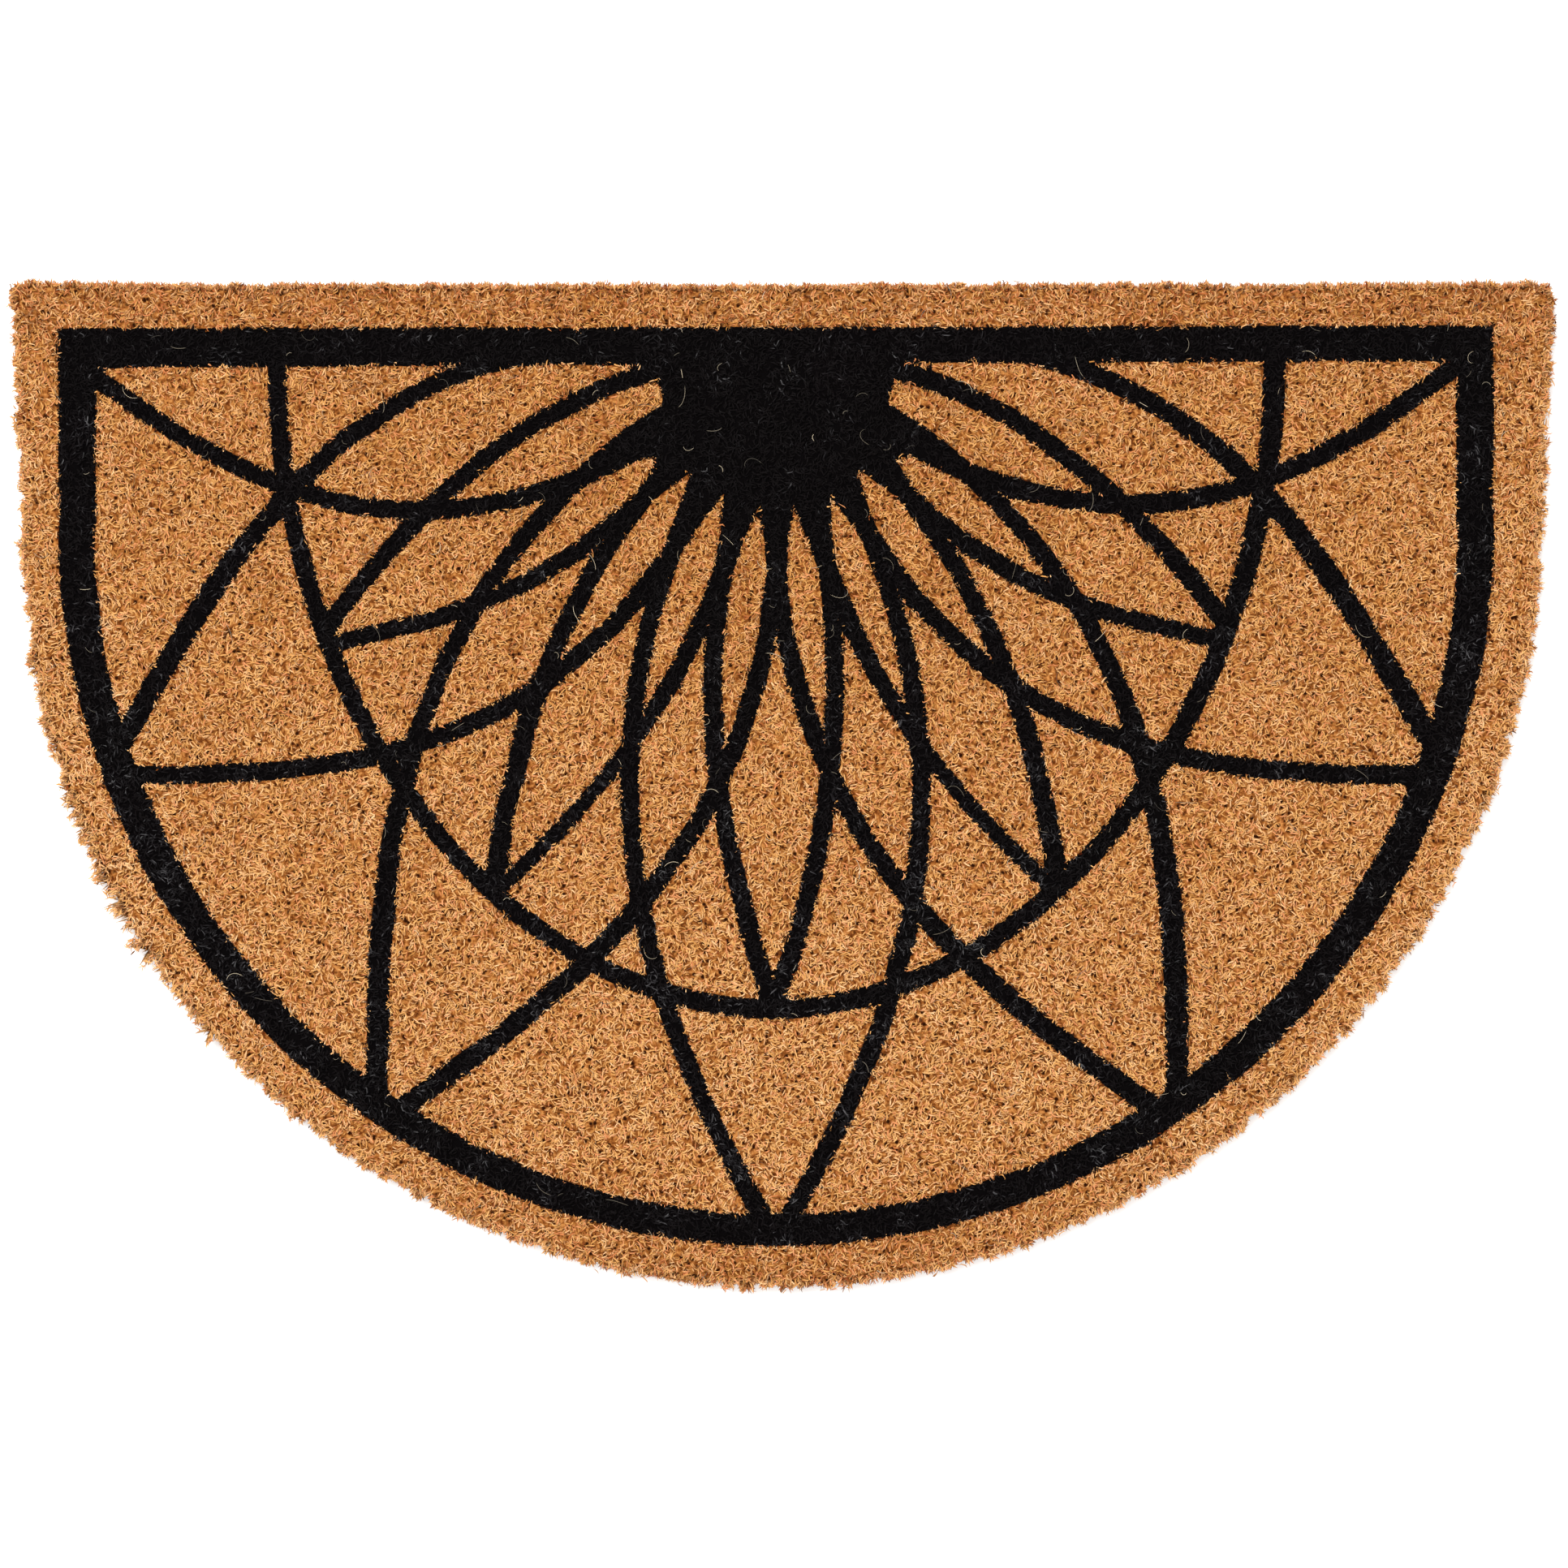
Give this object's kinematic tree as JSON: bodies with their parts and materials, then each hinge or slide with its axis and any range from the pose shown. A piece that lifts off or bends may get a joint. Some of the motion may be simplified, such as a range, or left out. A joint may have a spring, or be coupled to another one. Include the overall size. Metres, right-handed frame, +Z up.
{
  "type": "half-round coir doormat",
  "caption": "Flat half-round coir doormat with a straight back edge, short cut pile, ragged tufted rim and a thin flexible backing sheet.",
  "frame": {"origin": "middle of the outline's box, on the underside that rests on the floor", "axes": "+X along the straight edge, +Y towards the straight edge with the round end at -Y, +Z up through the pile"},
  "size_m": [0.6041, 0.3938, 0.0159],
  "materials": {
    "coir": "cut natural coir pile, matt, golden brown, with a black printed line pattern",
    "backing": "matt dark grey flexible vinyl sheet"
  },
  "bodies": {
    "root": {"coir_pile": "coir", "backing_sheet": "backing"}
  },
  "joints": []
}
